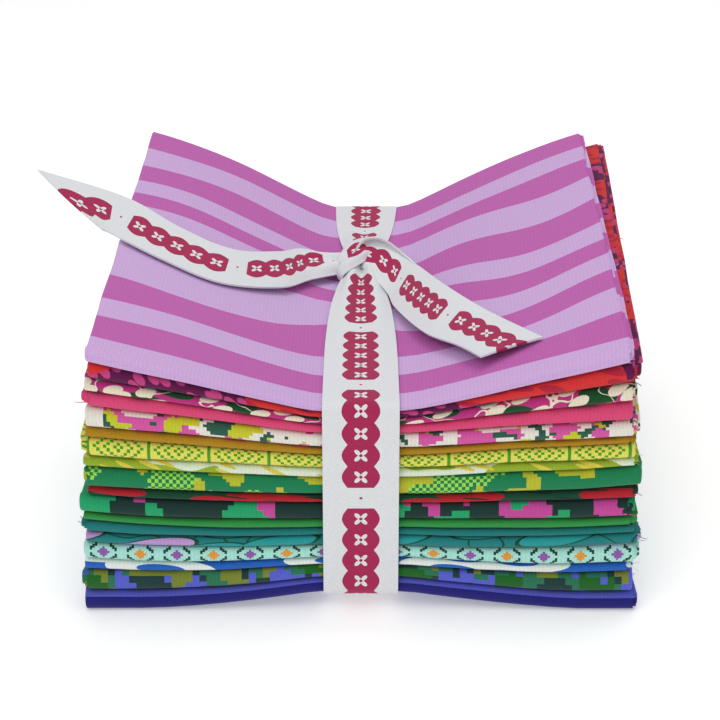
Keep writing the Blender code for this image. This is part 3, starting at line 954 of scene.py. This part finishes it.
def yellow_chart(tree, mm):
    """Yellow with rings of green squares between thin green lines."""
    across, along = squares(tree, mm, YELLOW_SQUARE, 18, 12, 3.0)
    ring = add(tree, "Math", {0: across, 1: along}, operation="ADD")
    colour = linear("E2DC5C")
    for distance in (1, 4, 7):
        mask = add(tree, "Math", {0: ring, 1: distance, 2: 0.1}, operation="COMPARE")
        colour = ink(tree, colour, "4A9A2A", mask)
    line = add(tree, "Math", {0: across, 1: 9.0, 2: 0.1}, operation="COMPARE")
    return ink(tree, colour, "4A9A2A", line)


def green_check(tree, mm):
    """Green with patches of lime check and plain ochre."""
    across, along = squares(tree, mm, GREEN_SQUARE, 2, 2)
    check = add(tree, "Math", {0: across, 1: along, 2: 0.1}, operation="COMPARE")
    patched = patch(tree, mm, GREEN_SQUARE, 13.0, 0.55, 120)
    mask = add(tree, "Math", {0: check, 1: patched}, operation="MULTIPLY")
    colour = ink(tree, linear("167E50"), "9ADA4C", mask)
    return ink(tree, colour, "B9BC30", patch(tree, mm, GREEN_SQUARE, 10.0, 0.61, 505))


def aqua_chart(tree, mm):
    """Pale aqua with small sprigs: a flower and two slanting leaves."""
    across, along = squares(tree, mm, SPRIG_SQUARE, SPRIG_REPEAT, 13, 1.0)
    reach = add(tree, "Math", {0: across, 1: along}, operation="ADD")
    flower = add(tree, "Math", {0: reach, 1: 2.5}, operation="LESS_THAN")
    leaf = add(tree, "Math", {0: reach, 1: 6.5, 2: 0.6}, operation="COMPARE")
    wide = add(tree, "Math", {0: across, 1: 4.0, 2: 1.1}, operation="COMPARE")
    leaf = add(tree, "Math", {0: leaf, 1: wide}, operation="MULTIPLY")
    colour = ink(tree, linear("A9E2D6"), "14463A", leaf)
    place = add(tree, "SeparateXYZ", {0: mm})
    turn = add(tree, "Math", {0: place, 1: 2 * SPRIG_REPEAT * SPRIG_SQUARE}, operation="FLOORED_MODULO")
    even = add(tree, "Math", {0: turn, 1: SPRIG_REPEAT * SPRIG_SQUARE}, operation="LESS_THAN")
    bloom = ink(tree, linear("E09A3A"), "8E5AA8", even)
    return add(tree, "Mix", {0: flower, 6: colour, 7: bloom}, out=2, data_type="RGBA")


for paint in (yellow_chart, green_check, aqua_chart):
    PRINTS[paint.__name__] = paint
print("prints so far:", len(PRINTS))

# %% [markdown]
# ## Petals, leaves and brush marks
# The other prints are flowing. A Voronoi pattern scatters one cell for each petal. Stretching the
# place before it makes every petal long, and the distance from the cell's middle rounds it off.

# %% Scattered petals and broad areas
PETAL_SCATTER = 0.75


def petals(tree, mm, stretch, size, radius, turn, seed):
    """Long round spots, one in each cell: 1 inside a petal, and each cell's own chance colour."""
    angle = math.radians(turn)
    turned = add(tree, "VectorRotate", {"Vector": mm, "Angle": angle}, rotation_type="Z_AXIS")
    moved = add(tree, "VectorMath", {0: turned, 1: (seed, seed, 0.0)}, operation="ADD")
    squeezed = add(tree, "VectorMath", {0: moved, 1: (1 / stretch, 1.0, 1.0)}, operation="MULTIPLY")
    cells = add(tree, "TexVoronoi", {"Vector": squeezed, "Scale": 1 / size, "Randomness": PETAL_SCATTER},
                voronoi_dimensions="2D")
    return add(tree, "Math", {0: cells, 1: radius}, operation="LESS_THAN"), cells.node.outputs["Color"]


def drift(tree, mm, size, amount, seed):
    """Broad soft-edged areas."""
    moved = add(tree, "VectorMath", {0: mm, 1: (seed, seed * 0.7, 0.0)}, operation="ADD")
    field = add(tree, "TexNoise", {"Vector": moved, "Scale": 1 / size, "Detail": 2.5},
                noise_dimensions="2D")
    return add(tree, "Math", {0: field, 1: amount}, operation="GREATER_THAN")


print("petals stray from even rows by", PETAL_SCATTER, "of a cell")

# %% Petals, leaves and brush marks
def plum_petal(tree, mm):
    """Dark plum with pink petals and, in places, red with deeper strokes."""
    small, _ = petals(tree, mm, 1.8, 3.6, 0.36, 62, 11)
    colour = ink(tree, linear("5C0D46"), "C0407C", small)
    red = drift(tree, mm, 34.0, 0.53, 640)
    colour = ink(tree, colour, "D42F30", red)
    stroke, _ = petals(tree, mm, 3.2, 4.0, 0.3, 24, 90)
    stroke = add(tree, "Math", {0: stroke, 1: red}, operation="MULTIPLY")
    return ink(tree, colour, "B01F38", stroke)


def magenta_bloom(tree, mm):
    """Magenta with cream petals and curling lines, and dark green leaves."""
    leaf, _ = petals(tree, mm, 1.9, 9.0, 0.3, 15, 70)
    colour = ink(tree, linear("B82E7C"), "0E4822", leaf)
    field = add(tree, "TexNoise", {"Vector": mm, "Scale": 1 / 9.0, "Detail": 1.5}, noise_dimensions="2D")
    curl = add(tree, "Math", {0: field, 1: 0.47, 2: 0.014}, operation="COMPARE")
    colour = ink(tree, colour, "E6DCC4", curl)
    bloom, _ = petals(tree, mm, 1.6, 6.0, 0.3, -35, 210)
    return ink(tree, colour, "E6DCC4", bloom)


def olive_brush(tree, mm):
    """Lime with thin slanting yellow strokes and long pale areas."""
    colour = ink(tree, linear("93AE2C"), "DCE7D2", drift(tree, mm, 60.0, 0.5, 610))
    stroke, _ = petals(tree, mm, 5.0, 4.4, 0.2, 38, 50)
    return ink(tree, colour, "D9C94A", stroke)


def forest_petal(tree, mm):
    """Dark green with long red petals."""
    petal, _ = petals(tree, mm, 3.0, 7.5, 0.4, 8, 130)
    colour = ink(tree, linear("0F4430"), "B01A26", petal)
    vein, _ = petals(tree, mm, 9.0, 2.6, 0.16, 10, 20)
    return ink(tree, colour, "0A2C20", vein)


def teal_leaf(tree, mm):
    """Teal with leaves in dark green outline, some of them lilac, and dark green stems."""
    field = add(tree, "TexNoise", {"Vector": mm, "Scale": 1 / 14.0, "Detail": 0.0}, noise_dimensions="2D")
    stem = add(tree, "Math", {0: field, 1: 0.5, 2: 0.012}, operation="COMPARE")
    colour = ink(tree, linear("1A7E7E"), "0F4A30", stem)
    outline, _ = petals(tree, mm, 3.0, 8.0, 0.47, -14, 25)
    leaf, chance = petals(tree, mm, 3.0, 8.0, 0.42, -14, 25)
    colour = ink(tree, ink(tree, colour, "0F4A30", outline), "239898", leaf)
    pick = add(tree, "Math", {0: chance, 1: 0.55}, operation="GREATER_THAN")
    return ink(tree, colour, "BE96D0", add(tree, "Math", {0: leaf, 1: pick}, operation="MULTIPLY"))


def blue_shape(tree, mm):
    """Blue with large white petals that hold a blue one."""
    outer, _ = petals(tree, mm, 2.6, 12.0, 0.46, 6, 320)
    inner, _ = petals(tree, mm, 2.6, 12.0, 0.2, 6, 320)
    colour = ink(tree, linear("2262BE"), "E9ECE8", outer)
    return ink(tree, colour, "2262BE", inner)


for paint in (plum_petal, magenta_bloom, olive_brush, forest_petal, teal_leaf, blue_shape):
    PRINTS[paint.__name__] = paint
for cloth, row in zip(cloths, FAT_QUARTERS):
    cloth.data.materials.append(cotton("quilting_cotton_" + row[0], PRINTS[row[0]]))
print("printed cottons:", len(PRINTS))

# %% [markdown]
# ## Twill tape
# The ribbon is white cotton tape in a herringbone twill: ribs that slant one way, then the other.
# It is matt and a little soft. Down its middle runs a printed row of raspberry panels with
# scalloped sides. Each holds five white flowers of four petals, with a dot before the next panel.

# %% The ribbon's finish
ROW_START = 10.0
PANEL_REPEAT = 37.0
PANEL_LENGTH = 31.0
PANEL_HALF_WIDTH = 3.4
SCALLOP_DEPTH = 1.5
FLOWER_PITCH = 6.2
FLOWER_REACH = 1.45
FLOWER_NOTCH = 0.75
FLOWER_EYE = 0.45
RIB_PITCH = 0.9
RIB_GRAIN = (0.96, 1.03)
HERRINGBONE = 4.9
TAPE_ROUGHNESS = 0.85
TAPE_BUMP = 0.3
TAPE_SPECULAR = 0.3
TAPE_SHEEN = 0.1


def twill_tape():
    """White herringbone tape with its printed row."""
    material, tree, shader = new_material("herringbone_cotton_tape", TAPE_ROUGHNESS)
    cut = add(tree, "UVMap", uv_map="cut")
    mm = add(tree, "VectorMath", {0: cut, 1: (1000, 1000, 1000)}, operation="MULTIPLY")
    split = add(tree, "SeparateXYZ", {0: mm}).node
    zigzag = add(tree, "Math", {0: split.outputs[0], 1: HERRINGBONE}, operation="PINGPONG")
    slant = add(tree, "Math", {0: zigzag, 1: split.outputs[1]}, operation="ADD")
    rib_turn = add(tree, "Math", {0: slant, 1: 2 * math.pi / RIB_PITCH}, operation="MULTIPLY")
    rib = add(tree, "Math", {0: rib_turn}, operation="SINE")
    off_middle = add(tree, "Math", {0: split.outputs[0], 1: RIBBON_WIDTH / 2}, operation="SUBTRACT")
    across = add(tree, "Math", {0: off_middle}, operation="ABSOLUTE")
    along = add(tree, "Math", {0: split.outputs[1], 1: ROW_START}, operation="ADD")
    within = add(tree, "Math", {0: along, 1: PANEL_REPEAT / 2}, operation="PINGPONG")
    beat = add(tree, "Math", {0: within, 1: FLOWER_PITCH / 2}, operation="PINGPONG")
    turn = add(tree, "Math", {0: beat, 1: math.pi / FLOWER_PITCH}, operation="MULTIPLY")
    scallop = add(tree, "Math", {0: turn}, operation="COSINE")
    edge = add(tree, "Math", {0: scallop, 1: SCALLOP_DEPTH, 2: PANEL_HALF_WIDTH}, operation="MULTIPLY_ADD")
    inside = add(tree, "Math", {0: across, 1: edge}, operation="LESS_THAN")
    on_panel = add(tree, "Math", {0: within, 1: PANEL_LENGTH / 2}, operation="LESS_THAN")
    panel = add(tree, "Math", {0: inside, 1: on_panel}, operation="MULTIPLY")
    colour = ink(tree, linear("E0E2E5"), "A82252", panel)
    spot = add(tree, "CombineXYZ", {0: across, 1: beat})
    reach = add(tree, "VectorMath", {0: spot}, out=1, operation="LENGTH")
    bearing = add(tree, "Math", {0: across, 1: beat}, operation="ARCTAN2")
    four_turns = add(tree, "Math", {0: bearing, 1: 4.0}, operation="MULTIPLY")
    petal = add(tree, "Math", {0: four_turns}, operation="COSINE")
    petal_edge = add(tree, "Math", {0: petal, 1: -FLOWER_NOTCH, 2: FLOWER_REACH}, operation="MULTIPLY_ADD")
    flower = add(tree, "Math", {0: reach, 1: petal_edge}, operation="LESS_THAN")
    colour = ink(tree, colour, "E0E2E5", flower)
    eye = add(tree, "Math", {0: reach, 1: FLOWER_EYE}, operation="LESS_THAN")
    colour = ink(tree, colour, "A82252", eye)
    grain = add(tree, "MapRange", dict(enumerate((rib, -1.0, 1.0, *RIB_GRAIN))))
    shaded = add(tree, "VectorMath", {0: colour, 1: grain}, operation="MULTIPLY")
    bump = add(tree, "Bump", {"Height": rib, "Strength": TAPE_BUMP, "Distance": YARN_RISE * MM})
    tree.links.new(shaded, shader.inputs["Base Color"])
    tree.links.new(bump, shader.inputs["Normal"])
    shader.inputs["Specular IOR Level"].default_value = TAPE_SPECULAR
    shader.inputs["Sheen Weight"].default_value = TAPE_SHEEN
    return material


ribbon.data.materials.append(twill_tape())
print("the printed row repeats every", PANEL_REPEAT, "mm")

# %% [markdown]
# ## Put the cloth in the solids' place
# Each sheet stands for its solid and rides with the bundle.

for index, (cloth, row) in enumerate(zip(cloths, FAT_QUARTERS)):
    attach(cloth, "root")
    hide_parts(f"fat_quarter_{index + 1:02d}")
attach(ribbon, "root")
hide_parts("ribbon")
